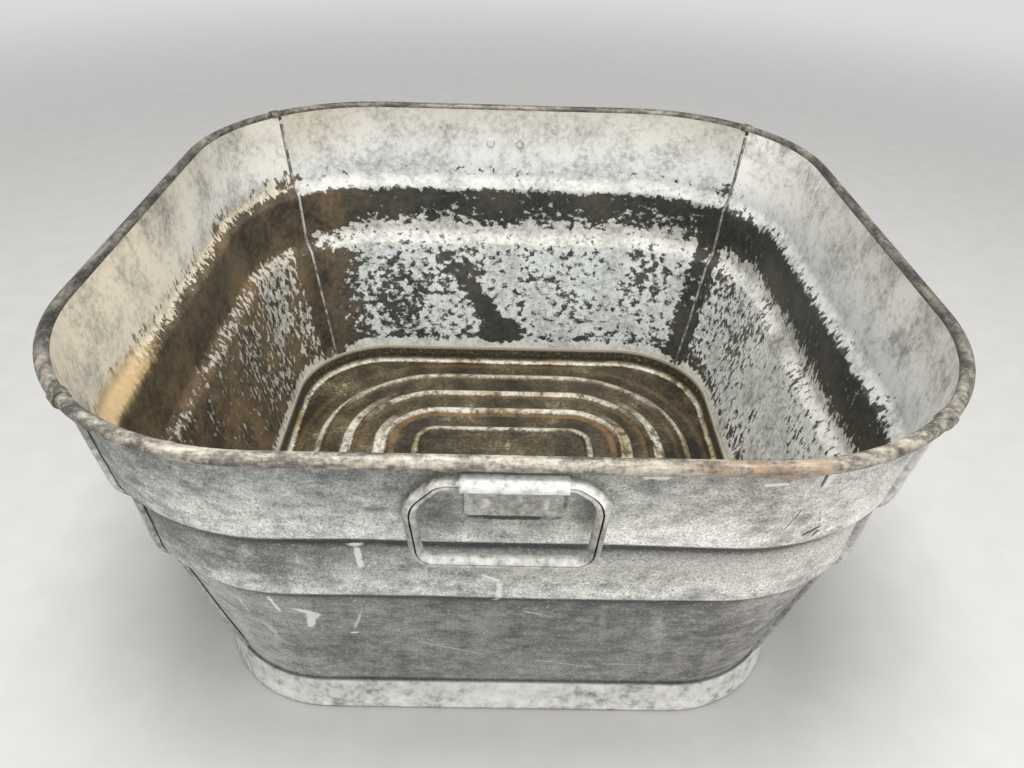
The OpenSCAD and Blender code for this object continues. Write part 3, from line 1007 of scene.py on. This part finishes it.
def thicken(piece: bpy.types.Object, sheet: float, coat_step: int = 0) -> None:
    """Give a sheet its thickness, behind its faces, and smooth all but its edges.

    Args:
        piece: A sheet without thickness.
        sheet: Thickness in millimetres.
        coat_step: How many places further in its list of finishes that of the sheet's back is.
    """
    work(piece, "SOLIDIFY", thickness=sheet * MM, offset=-1.0, material_offset=coat_step)
    only(piece)
    bpy.ops.object.shade_smooth_by_angle(angle=SMOOTH_UNDER)


def crumple(
    piece: bpy.types.Object, name: str, size: float, depth: float, share: Callable[[Vector], float],
    detail: int = 2, **settings: str,
) -> None:
    """Push a sheet in and out by a cloudy pattern.

    Args:
        piece: A sheet without thickness.
        name: Name of the pattern.
        size: Size of its features in millimetres.
        depth: How far it pushes each way, in millimetres.
        share: How freely the point at a place in metres moves, from none to one.
        detail: How many finer layers the pattern has.
        settings: The modifier's other properties.
    """
    group = piece.vertex_groups.new(name=name)
    for vert in piece.data.vertices:
        group.add([vert.index], share(vert.co), "REPLACE")
    clouds = bpy.data.textures.new(name, "CLOUDS")
    clouds.noise_scale = size * MM
    clouds.noise_depth = detail
    work(
        piece, "DISPLACE", texture=clouds, mid_level=0.5, strength=2 * depth * MM, vertex_group=name,
        **settings,
    )


def copy_turned(piece: bpy.types.Object, name: str, turn: float) -> bpy.types.Object:
    """Copy a piece with its own mesh, turned about the tub's upright axis.

    Args:
        piece: What to copy.
        name: Name of the copy.
        turn: Angle in radians.

    Returns:
        The copy, with the turn in its mesh.
    """
    only(piece)
    bpy.ops.object.duplicate()
    twin = bpy.context.object
    twin.name = name
    twin.rotation_euler.z = turn
    bpy.ops.object.transform_apply(location=False, rotation=True, scale=False)
    return twin


def make_places(piece: bpy.types.Object, count: int) -> None:
    """Give a piece empty places for its finishes, so that modifiers keep its faces' choice of one."""
    for _ in range(count):
        piece.data.materials.append(None)


def fill_places(piece: bpy.types.Object, finishes: Iterable[bpy.types.Material]) -> None:
    """Put finishes in a piece's places."""
    for place, finish in enumerate(finishes):
        piece.data.materials[place] = finish


def seat(piece: bpy.types.Object, node: str, body: str) -> None:
    """Let a piece stand for a node of the frame.

    Args:
        piece: The piece.
        node: The node's name.
        body: The body that it rides on.
    """
    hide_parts(node)
    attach(piece, body)
    log.info("%s: %d faces in place of %s", piece.name, len(piece.data.polygons), node)


def dress_nodes(finish: Finish, *nodes: str) -> None:
    """Give nodes of the frame their finish.

    Args:
        finish: The finish.
        nodes: The nodes' names.
    """
    made = finish.material()
    for node in nodes:
        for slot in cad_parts[node].material_slots:
            slot.material = made
        log.info("%s: keeps its own shape", node)


@dataclass(frozen=True)
class Knot:
    """A bend of the wall's inner face: half width, height and its rounding's reach along the sheet."""

    s: float
    z: float
    reach: float


@dataclass
class Walls:
    """Four pressed panels, hooked together at the corners, each with its length of rolled rim."""

    corner_at: float = 119.0
    sheet: float = 0.8
    roll_r: float = 4.0
    roll_s: float = 262.7
    roll_z: float = 278.0
    roll_open: Span = (-179.9, -127.0)
    roll_steps: int = 48
    knots: tuple[Knot, ...] = (
        Knot(249.7, 214.0, 2.8),
        Knot(242.2, 204.0, 1.4),
        Knot(238.2, 158.5, 3.1),
        Knot(230.7, 148.5, 1.0),
        Knot(201.7, 31.4, 0.8),
        Knot(203.9, 1.15, 0.0),
    )
    knot_steps: int = 4
    run: float = 7.0
    flat_steps: int = 36
    corner_steps: int = 15
    over_short: float = 2.9
    under_past: float = 1.5
    seam_low: float = 33.9
    seam_high: float = 271.5
    seam_out: float = 1.95
    seam_w: float = 6.0
    seam_back: float = 0.6
    bead: tuple[Span, ...] = ((0.4, -0.8), (0.8, -0.3), (0.8, 0.3), (0.4, 0.8))
    # Painted highlight and shade on the outside seam by height, pale on the ridges and dark in the creases.
    seam_painted_light_bands: Stops = (
        (30, 0.62), (140, 0.62), (149, 0.35), (159, 0.95), (196, 0.72), (204, 0.35), (215, 1.0), (270, 0.8),
        (TUB_H, 0.8),
    )
    fold_steps: int = 4
    fold_step: float = 0.35
    lap_ramp: float = 1.5
    lap_rise: float = 0.95
    lap: float = 7.0
    wave: float = 1.5
    wave_size: float = 110.0
    loose_from: float = 42.0
    loose_to: float = 266.0
    loose_fade: float = 40.0
    ear_half: float = 34.0
    ear_low: float = 190.0

    def build(self) -> dict[Side, bpy.types.Object]:
        """Model one panel and copy it round the tub.

        Returns:
            The four walls by side.
        """
        blank = self.panel()
        make_places(blank, len(Coat))
        walls = {}
        for side in Side:
            wall = copy_turned(blank, f"{side.node}_sheet", side.turn)
            crumple(
                wall, "sheet_waves", self.wave_size, self.wave, self.looseness, detail=1,
                texture_coords="GLOBAL", direction="NORMAL",
            )
            self.lock(wall, side)
            thicken(wall, self.sheet)
            walls[side] = wall
        bpy.data.objects.remove(blank)
        return walls

    def panel(self) -> bpy.types.Object:
        """Model the front panel as a sheet without thickness, on the wall's inner face.

        Returns:
            The panel, facing the basin.
        """
        c = self.corner_at
        middle = (-c, -self.roll_s, self.roll_z)
        piece = Workpiece.from_ring("wall_blank", self.roll_steps, self.roll_r, middle)
        piece.pick(lambda co: self.roll_open[0] < self.roll_angle(co) < self.roll_open[1])
        piece.drop()
        here = metres(-c, -(self.roll_s - self.roll_r), self.roll_z)
        piece.pick_near([here])
        for knot in self.knots:
            there = metres(-c, -knot.s, knot.z)
            piece.draw_out(there - here)
            here = there
        for knot in self.knots[:-1]:
            piece.pick_near([metres(-c, -knot.s, knot.z)])
            piece.round_points(knot.reach, self.knot_steps)
        piece.divide(self.run)
        piece.pick(lambda co: True)
        piece.turn_round(45 + self.under_past, self.corner_steps, (-c, -c, 0))
        piece.pick(lambda co: abs(co.x + c * MM) < TOUCH)
        piece.draw_out(metres(2 * c / self.flat_steps, 0, 0), self.flat_steps)
        piece.turn_round(self.over_short - 45, self.corner_steps, (c, -c, 0))
        piece.face(lambda co: Vector((-co.x, -co.y, 0)).normalized())
        return piece.done()

    def roll_angle(self, co: Vector) -> float:
        """Angle of a point round the rim wire, in degrees, with the basin at 180."""
        return math.degrees(math.atan2(co.z - self.roll_z * MM, -co.y - self.roll_s * MM))

    def looseness(self, co: Vector) -> float:
        """Say how freely the sheet waves.

        Args:
            co: Place of a point in metres.

        Returns:
            None at the stiff edges and the ears, and one well away from them.
        """
        z = co.z / MM
        free = clamp(min(z - self.loose_from, self.loose_to - z) / self.loose_fade)
        across = min(abs(co.x), abs(co.y)) / MM
        return free * clamp((across - self.ear_half) / self.loose_fade) if z > self.ear_low else free

    def lock(self, wall: bpy.types.Object, side: Side) -> None:
        """Fold a wall's edge over the next wall's edge and back towards it, and lap its rim over the next.

        Args:
            wall: A wall without thickness.
            side: Its side of the tub.
        """
        only(wall)
        piece = Workpiece(wall.name)
        turn = Matrix.Rotation(side.turn, 3, "Z")
        stop = math.radians(45 - self.over_short)
        outward = turn @ Vector((math.sin(stop), -math.cos(stop), 0))
        onward = turn @ Vector((math.cos(stop), math.sin(stop), 0))
        corner = turn @ metres(self.corner_at, -self.corner_at, 0)
        edge = piece.pick(
            lambda co: abs((co - corner).dot(onward)) < SLACK * MM and (co - corner).dot(outward) > 0
        )
        piece.pick_near(p for p in edge if self.seam_low * MM < p.z < self.seam_high * MM)
        plain = piece.face_count()
        for along, out in self.bead:
            piece.draw_out((onward * along + outward * out) * MM)
        piece.coat_since(plain, Coat.BEAD)
        plain = piece.face_count()
        fold = [(self.fold_step, math.pi / 2 / self.fold_steps)] * self.fold_steps
        heading = 0.0
        for length, bend in ((self.seam_out, 0.0), *fold, (self.seam_w, 0.0), *fold, (self.seam_back, 0.0)):
            heading -= bend
            piece.draw_out((outward * math.cos(heading) - onward * math.sin(heading)) * length * MM)
        piece.coat_since(plain, Coat.SEAM)
        piece.pick_near(p for p in edge if p.z > self.seam_high * MM)
        piece.draw_out(onward * self.lap_ramp * MM)
        middle = corner + outward * (self.roll_s - self.corner_at) * MM + onward * self.lap_ramp * MM
        middle.z = self.roll_z * MM
        grown = 1 + self.lap_rise / self.roll_r
        bpy.ops.transform.resize(value=(grown, grown, grown), center_override=middle)
        piece.draw_out(onward * self.lap * MM)
        piece.done()

    def insides(self) -> dict[Side, StainedZinc]:
        """Choose the stain inside each wall.

        Returns:
            The finishes by side.
        """
        return {
            Side.FRONT: StainedZinc(
                "stained_zinc_front", fleck=(4.0, 4.0, 7.0), feather=3.0, low_cover=0.47, speck_cover=0.3
            ),
            Side.RIGHT: StainedZinc(
                "stained_zinc_right", fleck=(4.2, 4.2, 7.0), feather=5.0, low_cover=0.42, shelf_cover=0.40,
                band_cover=0.69, band_top=205.0, ledge_cover=0.35, ledge_shade="#D4D5D1", speck_cover=0.32,
                lean_axis="Y", lean=(60.0, 150.0), lean_cover=0.06, lean_brown=0.0, upper_tan=4.32,
                upper_shade="#FDFBF5", low_shade="#E6E7E4", blotching=1.25,
            ),
            Side.BACK: StainedZinc("stained_zinc_back", smears=BACK_SMEARS),
            Side.LEFT: StainedZinc(
                "stained_zinc_left", fleck=(4.2, 4.2, 8.5), feather=5.0, low_cover=0.53, shelf_cover=0.455,
                shelf_shade="#CFC8B8", shelf_top=155.0, band_cover=0.83, band_top=208.0, ledge_cover=0.40,
                ledge_shade="#DCD2BC", speck_cover=0.45, lean_axis="Y", lean=(130.0, -60.0), lean_cover=0.15,
                lean_shelf=0.8, lean_brown=0.3, brown=0.6, tan=(198.0, 226.0), upper_tan=1.71,
                upper_shade="#F8ECD5", low_shade="#D6D3C9", mottling=0.8, blotching=1.25, ochre=LEFT_OCHRE,
            ),
        }

    def dress(self, walls: dict[Side, bpy.types.Object]) -> None:
        """Paint each wall outside, inside, on its rim and on its seam, and set it in the frame.

        Args:
            walls: The four walls by side.
        """
        outside = WeatheredZinc("weathered_galvanised_sheet").material()
        # The outside seam has painted highlight and shade by height.
        seam = RubbedZinc(
            "rubbed_zinc_seam", dull="#807F7C", middle="#B8B7B3", pale="#E4E3DF", scuff=5.0,
            painted_light_bands=self.seam_painted_light_bands,
        ).material()
        bead = RubbedZinc(
            "stained_zinc_seam_bead", dull="#37332B", middle="#77736A", pale="#CBC7BC", scuff=6.0, metal=0.15
        ).material()
        across = RolledRim("weathered_galvanised_rim_across").material()
        along = RolledRim("weathered_galvanised_rim_along", grain=(8.0, 32.0, 8.0)).material()
        insides = self.insides()
        for side, wall in walls.items():
            rim = across if side in (Side.FRONT, Side.BACK) else along
            fill_places(wall, (insides[side].material(), outside, rim, seam, bead))
            for face in wall.data.polygons:
                if face.material_index not in (Coat.SEAM.value, Coat.BEAD.value):
                    face.material_index = self.coat(face.center, face.normal).value
            seat(wall, side.node, "tub")

    def coat(self, middle: Vector, normal: Vector) -> Coat:
        """Choose the finish of a face.

        Args:
            middle: Middle of the face.
            normal: Its direction.

        Returns:
            The finish.
        """
        past = [max(0.0, abs(place) / MM - self.corner_at) for place in middle.xy]
        s = self.corner_at + math.hypot(*past)
        if math.hypot(s - self.roll_s, middle.z / MM - self.roll_z) < self.roll_r + self.lap_rise + SLACK:
            return Coat.RIM
        if s < self.roll_s - self.roll_r + SLACK and normal.xy.dot(middle.xy) < 0:
            return Coat.INSIDE
        return Coat.OUTSIDE


@dataclass
class Ears:
    """Two hinge leaves, each rolled round a handle's bar and hammered flat against the wall."""

    bar_at: Point = BAR_AT
    lean: float = 8.005
    roll_r: float = 4.8
    roll_steps: int = 36
    roll_open: Span = (-85.0, -0.1)
    width: float = 51.0
    columns: int = 17
    leaf: float = 27.8
    rows: int = 9
    leaf_share: float = 0.94
    neck: float = 0.5
    sheet: float = 1.0
    corner: float = 2.6
    corner_steps: int = 3
    curls: tuple[Span, ...] = ((4.0, 0.27), (1.0, 0.63))
    ripple: float = 1.3
    ripple_size: float = 16.0
    foot_share: float = 0.3
    lip_from: float = 3.4
    lip_fade: float = 3.0

    def build(self) -> dict[str, bpy.types.Object]:
        """Model the front ear and copy it to the back.

        Returns:
            The ears by the node that each stands for.
        """
        front = self.ear()
        back = copy_turned(front, "back_ear_leaf", math.pi)
        return {"front_ear": front, "back_ear": back}

    def ear(self) -> bpy.types.Object:
        """Model one ear about its bar, then set it on the front wall.

        Returns:
            The front ear.
        """
        half = self.width / 2
        piece = Workpiece.from_ring("front_ear_leaf", self.roll_steps, self.roll_r, (-half, 0, 0))
        piece.pick(lambda co: self.roll_open[0] < math.degrees(math.atan2(co.z, co.y)) < self.roll_open[1])
        piece.drop()
        piece.pick_near([metres(-half, self.roll_r, 0)])
        piece.draw_out(metres(0, 0, -self.leaf / self.rows), self.rows)
        piece.pick(lambda co: True)
        piece.draw_out(metres(self.width / self.columns, 0, 0), self.columns)
        foot = (SLACK - self.leaf) * MM
        for end in (-1, 1):
            piece.pick(lambda co, end=end: co.z < foot and end * co.x > (half - SLACK) * MM)
            piece.round_points(self.corner, self.corner_steps)
        piece.pick(lambda co: co.z < -(self.roll_r + self.neck) * MM)
        bpy.ops.transform.resize(value=(self.leaf_share, 1, 1), center_override=(0, 0, 0))
        for above_foot, lift in self.curls:
            piece.pick(lambda co, above=above_foot: co.y > 0 and co.z < (above - self.leaf) * MM)
            bpy.ops.transform.translate(value=metres(0, -lift, 0))
        piece.face(lambda co: Vector((0, co.y, co.z)).normalized())
        ear = piece.done()
        crumple(
            ear, "hammered_edge", self.ripple_size, self.ripple, self.hammering, texture_coords="LOCAL",
            direction="Z",
        )
        thicken(ear, self.sheet)
        make_places(ear, 2)
        ear.rotation_euler.x = math.radians(self.lean)
        ear.location = metres(*self.bar_at)
        bpy.ops.object.transform_apply(location=True, rotation=True, scale=False)
        return ear

    def hammering(self, co: Vector) -> float:
        """Say how uneven the ear is.

        Args:
            co: Place of a point from the bar, in metres.

        Returns:
            A share that grows towards the leaf's foot and the roll's free edge.
        """
        y, z = co.y / MM, co.z / MM
        if y > self.roll_r - SLACK and z < 0:
            return clamp((-z / self.leaf - 1 + self.foot_share) / self.foot_share)
        return clamp((-z - self.lip_from) / self.lip_fade)

    def dress(self, ears: dict[str, bpy.types.Object]) -> None:
        """Paint the rolls pale and the leaves like the wall, and set the ears in the frame.

        Args:
            ears: The ears by the node that each stands for.
        """
        roll = RubbedZinc(
            "rubbed_zinc_ear_roll", dull="#A3A29E", middle="#E6E6E2", pale="#FAFAF7", scuff=5.0, metal=0.15
        ).material()
        leaf = RubbedZinc(
            "weathered_zinc_ear_leaf", dull="#6F6F6A", middle="#94948D", pale="#BDBCB4", scuff=3.0, metal=0.2
        ).material()
        leaf_top = (self.bar_at[2] - self.roll_r) * MM
        for node, ear in ears.items():
            fill_places(ear, (roll, leaf))
            for face in ear.data.polygons:
                face.material_index = int(face.center.z < leaf_top)
            seat(ear, node, "tub")


@dataclass(frozen=True)
class Bend:
    """A corner of a handle's loop: its place across and above the hinge bar's axis, and its bend's radius."""

    x: float
    z: float
    radius: float


@dataclass
class Handles:
    """Two drop handles, each a loop bent from rolled tube, whose open seam faces away from the wall."""

    bar_at: Point = BAR_AT
    tube_r: float = 3.5
    tube_steps: int = 40
    slit: float = 0.02
    sheet: float = 0.9
    bends: tuple[Bend, ...] = (
        Bend(33.0, 0.0, 8.0),
        Bend(47.1, -9.9, 16.0),
        Bend(43.2, -52.0, 9.0),
        Bend(-43.2, -52.0, 9.0),
        Bend(-47.3, -14.8, 16.0),
        Bend(-32.5, 0.0, 10.0),
    )
    bend_steps: int = 9
    run: float = 5.0
    lump: float = 0.2
    lump_size: float = 9.0
    held_half: float = 28.0
    held_below: float = 2.0
    held_fade: float = 6.0
    # Painted highlight on the shoulders and the top of the grip, painted shade on the legs and under the
    # grip.
    painted_light_bands: Stops = (
        (208, 0.5), (211, 0.72), (215, 0.84), (218, 0.7), (224, 0.48), (240, 0.52), (250, 0.76), (256, 1.0),
        (TUB_H, 1.0),
    )

    def build(self) -> dict[str, bpy.types.Object]:
        """Model the front handle and copy it to the back.

        Returns:
            The handles by the node that each stands for.
        """
        front = self.loop()
        back = copy_turned(front, "back_handle_tube", math.pi)
        return {"front_handle": front, "back_handle": back}

    def loop(self) -> bpy.types.Object:
        """Bend one tube round its loop, clockwise as seen from the front, from the middle of its ear.

        Returns:
            The front handle.
        """
        bar_x, bar_y, bar_z = self.bar_at
        piece = Workpiece.from_ring("front_handle_tube", self.tube_steps, self.tube_r, self.bar_at)
        piece.pick(lambda co: co.y < (self.slit + bar_y - self.tube_r) * MM)
        piece.drop()
        piece.pick(lambda co: True)
        start = Vector((bar_x, 0.0))
        corners = [Vector((bend.x, bend.z)) for bend in self.bends]
        here = start
        for bend, before, corner, after in zip(self.bends, [start, *corners], corners, [*corners[1:], start]):
            ahead = (corner - before).normalized()
            onward = (after - corner).normalized()
            turn = ahead.angle(onward)
            reach = bend.radius * math.tan(turn / 2)
            entry = corner - ahead * reach
            self.straight(piece, entry - here)
            middle = entry + bend.radius * Vector((ahead.y, -ahead.x))
            centre = (middle.x, bar_y, bar_z + middle.y)
            piece.turn_round(math.degrees(turn), self.bend_steps, centre, (0, -1, 0))
            here = corner + onward * reach
        self.straight(piece, start - here)
        piece.face(lambda co: Vector((0, co.y - bar_y * MM, 0)))
        handle = piece.done()
        crumple(
            handle, "zinc_lumps", self.lump_size, self.lump, self.bareness, texture_coords="LOCAL",
            direction="NORMAL",
        )
        make_places(handle, 2)
        thicken(handle, self.sheet, coat_step=1)
        return handle

    def straight(self, piece: Workpiece, way: Vector) -> None:
        """Draw the tube out along a straight run, given across and up in millimetres."""
        steps = max(1, round(way.length / self.run))
        piece.draw_out(metres(way.x / steps, 0, way.y / steps), steps)

    def bareness(self, co: Vector) -> float:
        """Say how lumpy the tube is.

        Args:
            co: Place of a point in metres.

        Returns:
            None inside the ear, and one well outside it.
        """
        bar_x, _, bar_z = self.bar_at
        beside = abs(co.x / MM - bar_x) - self.held_half
        below = bar_z - self.tube_r - self.held_below - co.z / MM
        return clamp(max(beside, below) / self.held_fade)

    def dress(self, handles: dict[str, bpy.types.Object]) -> None:
        """Paint the tubes pale outside and near-black inside with grime and painted shade; set them in the
        frame.

        Args:
            handles: The handles by the node that each stands for.
        """
        outer = RubbedZinc(
            "rubbed_zinc_handle", dull="#726F66", middle="#C6C4BC", pale="#EFEEE8", scuff=4.0, metal=0.2,
            painted_light_bands=self.painted_light_bands,
        ).material()
        # Near-black inside of the tube: grime and painted shade, seen through the slit.
        inner = RubbedZinc(
            "grime_and_shade_tube_inside", dull="#1B1A18", middle="#272522", pale="#35322D"
        ).material()
        for node, handle in handles.items():
            fill_places(handle, (outer, inner))
            seat(handle, node, node)


@dataclass
class Fittings:
    """The pieces that keep the frame's own shape: rim wire, pan, foot band and rivets."""

    # Painted shade along the foot's bottom edge on the floor; darker in a line at its top edge.
    foot_painted_light_bands: Stops = (
        (0, 0.30), (1.0, 0.45), (2.2, 1.0), (9, 1.0), (18, 0.86), (27.2, 0.90), (28.6, 0.35), (30, 0.2),
        (TUB_H, 0.2),
    )

    def dress(self) -> None:
        """Paint the fittings."""
        foot = RubbedZinc(
            "rubbed_zinc_foot", dull="#8B8B85", middle="#DCDBD5", pale="#F6F5EF", scuff=8.0, metal=0.2,
            painted_light_bands=self.foot_painted_light_bands,
        )
        wire = RubbedZinc("drawn_steel_wire", dull="#6E6F70", middle="#8E8F8F", pale="#A9AAA9")
        rivet = RubbedZinc("rubbed_zinc_rivets", dull="#73726B", middle="#A6A59E", pale="#D8D7D0")
        dress_nodes(StainedPan("stained_galvanised_pan"), "bottom_pan")
        dress_nodes(foot, "foot_band")
        dress_nodes(wire, "rim_wire")
        dress_nodes(rivet, "front_ear_rivets", "back_ear_rivets")


@dataclass(frozen=True)
class Lamp:
    """A square soft light: its name, place and width in millimetres, and its power in watts."""

    name: str
    place: Point
    width: float
    power: float


@dataclass(frozen=True)
class Studio:
    """Pale floor, soft light and the camera at the photographed angle."""

    camera_at: Point = (-5.1, -548.0, 525.7)
    yaw: float = -0.020
    pitch: float = 0.618
    roll: float = 0.033
    focal_px: float = 824.7
    near: float = 10.0
    floor_half: float = 20000.0
    fill: float = 0.42
    lamps: tuple[Lamp, ...] = (
        Lamp("overhead", (-20, -300, 1900), 900.0, 33.0),
        Lamp("front", (600, -2050, 1300), 1600.0, 27.5),
    )
    lit_at: Point = (0, 0, 120)

    def build(self) -> None:
        """Set up the floor, the lights and the camera."""
        self.lay_floor()
        self.light()
        self.aim()

    def lay_floor(self) -> None:
        """Lay a wide sheet of paper at the height of the foot."""
        bpy.ops.object.select_all(action="DESELECT")
        bpy.ops.mesh.primitive_plane_add(size=2 * self.floor_half * MM, location=(0, 0, 0))
        floor = bpy.context.object
        floor.name = "studio_floor"
        floor.data.materials.append(StudioPaper("studio_paper").material())

    def light(self) -> None:
        """Hang one soft light over the tub and one before it, and fill the room."""
        for lamp in self.lamps:
            place = metres(*lamp.place)
            bpy.ops.object.light_add(type="AREA", location=place)
            made = bpy.context.object
            made.name = lamp.name
            made.data.size = lamp.width * MM
            made.data.energy = lamp.power
            made.rotation_euler = (metres(*self.lit_at) - place).to_track_quat("-Z", "Y").to_euler()
        scene = bpy.context.scene
        scene.world = scene.world or bpy.data.worlds.new("studio")
        scene.world.use_nodes = True
        tree = scene.world.node_tree
        sky = tree.nodes["Background"]
        feed(tree, sky.inputs["Color"], linear(BACKDROP))
        feed(tree, sky.inputs["Strength"], seen_strength(partial(add_node, tree), self.fill))
        scene.view_settings.view_transform = "Standard"

    def aim(self) -> None:
        """Place the camera."""
        lens = bpy.data.cameras.new("camera")
        lens.sensor_width = SENSOR_W
        lens.lens = SENSOR_W * self.focal_px / PHOTO_W
        lens.clip_start = self.near * MM
        camera = bpy.data.objects.new("camera", lens)
        bpy.context.scene.collection.objects.link(camera)
        level = math.cos(self.pitch)
        ahead = Vector((-math.sin(self.yaw) * level, math.cos(self.yaw) * level, -math.sin(self.pitch)))
        right = Vector((math.cos(self.yaw), math.sin(self.yaw), 0))
        up = right.cross(ahead)
        x = math.cos(self.roll) * right + math.sin(self.roll) * up
        y = math.cos(self.roll) * up - math.sin(self.roll) * right
        turned = Matrix((x, y, -ahead)).transposed().to_4x4()
        camera.matrix_world = Matrix.Translation(metres(*self.camera_at)) @ turned
        bpy.context.scene.camera = camera


def main() -> None:
    """Build and dress the tub, then set up the studio."""
    logging.basicConfig(level=logging.INFO, format="%(message)s")
    walls = Walls()
    walls.dress(walls.build())
    ears = Ears()
    ears.dress(ears.build())
    handles = Handles()
    handles.dress(handles.build())
    Fittings().dress()
    Studio().build()


if __name__ == "__main__":
    main()
